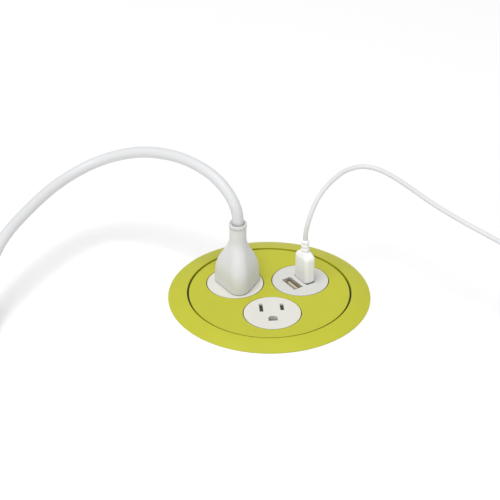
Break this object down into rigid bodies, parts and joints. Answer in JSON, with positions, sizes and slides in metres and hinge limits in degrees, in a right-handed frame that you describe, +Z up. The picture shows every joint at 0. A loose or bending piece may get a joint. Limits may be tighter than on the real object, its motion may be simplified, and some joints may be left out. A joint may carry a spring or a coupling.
{
  "type": "desk power unit",
  "caption": "Round power unit for a desk hole, with a lime ring and insert, white outlets, a charger, and a power plug and a charging plug in place with their cords.",
  "frame": {"origin": "centre of the flange's underside, on the desk's top face", "axes": "+Z up, out of the desk; -Y from the centre towards the front outlet"},
  "size_m": [0.4525, 0.2004, 0.1368],
  "materials": {
    "lime_plastic": "satin",
    "white_plastic": "satin",
    "charger_white_plastic": "satin",
    "plug_plastic": "satin",
    "cord_jacket": "satin",
    "black_plastic": "matte",
    "grey_plastic": "matte",
    "shutter_plastic": "matte",
    "nickel": "polished",
    "brass": "satin",
    "spring_steel": "satin",
    "board": "satin",
    "line_wire": "satin",
    "neutral_wire": "satin",
    "ground_wire": "satin"
  },
  "bodies": {
    "root": {"appliance_connector": "plug_plastic", "bezel_ring": "lime_plastic", "charge_cord_coil": "cord_jacket", "charger_board": "board", "charger_body": "black_plastic", "charger_capacitor": "black_plastic", "charger_face": "charger_white_plastic", "charger_line_wire": "line_wire", "charger_neutral_wire": "neutral_wire", "charger_transformer": "grey_plastic", "cord_inlet": "black_plastic", "device_connector": "charger_white_plastic", "device_connector_tip": "nickel", "front_ground_contact": "brass", "front_ground_wire": "ground_wire", "front_line_contact": "brass", "front_line_wire": "line_wire", "front_neutral_contact": "brass", "front_neutral_wire": "neutral_wire", "front_outlet_body": "black_plastic", "front_outlet_face": "white_plastic", "front_shutter_spring": "spring_steel", "ground_splice": "grey_plastic", "housing_cup": "black_plastic", "housing_screw_1": "spring_steel", "housing_screw_2": "spring_steel", "housing_screw_3": "spring_steel", "inner_port_shell": "nickel", "inner_port_tongue": "white_plastic", "insert_disc": "lime_plastic", "left_ground_contact": "brass", "left_ground_wire": "ground_wire", "left_line_contact": "brass", "left_line_wire": "line_wire", "left_neutral_contact": "brass", "left_neutral_wire": "neutral_wire", "left_outlet_body": "black_plastic", "left_outlet_face": "white_plastic", "left_shutter": "shutter_plastic", "left_shutter_spring": "spring_steel", "line_splice": "grey_plastic", "module_retainer": "black_plastic", "neutral_splice": "grey_plastic", "outer_port_shell": "nickel", "outer_port_tongue": "white_plastic", "power_cord_coil": "cord_jacket", "retaining_clip_left": "spring_steel", "retaining_clip_right": "spring_steel"},
    "power_plug": {"power_plug_body": "plug_plastic", "line_blade": "nickel", "neutral_blade": "nickel", "ground_pin": "nickel", "power_cord": "cord_jacket"},
    "charge_plug": {"charge_plug_body": "charger_white_plastic", "charge_plug_shell": "nickel", "charge_cord": "cord_jacket"},
    "clamp_washer": {"clamp_washer": "spring_steel"},
    "clamp_nut": {"clamp_nut": "black_plastic"},
    "front_shutter": {"front_shutter": "shutter_plastic"}
  },
  "joints": [
    {"name": "power_plug_pull", "type": "slide", "parent": "root", "child": "power_plug", "axis": [0, 0, 1], "range_m": [0, 0.03]},
    {"name": "charge_plug_pull", "type": "slide", "parent": "root", "child": "charge_plug", "axis": [0, 0, 1], "range_m": [0, 0.02]},
    {"name": "clamp_slide", "type": "slide", "parent": "root", "child": "clamp_washer", "axis": [0, 0, 1], "range_m": [-0.012, 0.014]},
    {"name": "clamp_spin", "type": "hinge", "parent": "clamp_washer", "child": "clamp_nut", "pos_m": [0, 0, -0.0365], "axis": [0, 0, 1], "range_deg": [-1081, 1261]},
    {"name": "front_shutter_slide", "type": "slide", "parent": "root", "child": "front_shutter", "axis": [1, 0, 0], "range_m": [0, 0.003], "stiffness_N_per_m": 60, "springref_m": -0.001, "deforming": ["front_shutter_spring"]}
  ],
  "couplings": [
    {"joint": "clamp_spin", "follows": "clamp_slide", "rad_per_m": 1570.8}
  ]
}
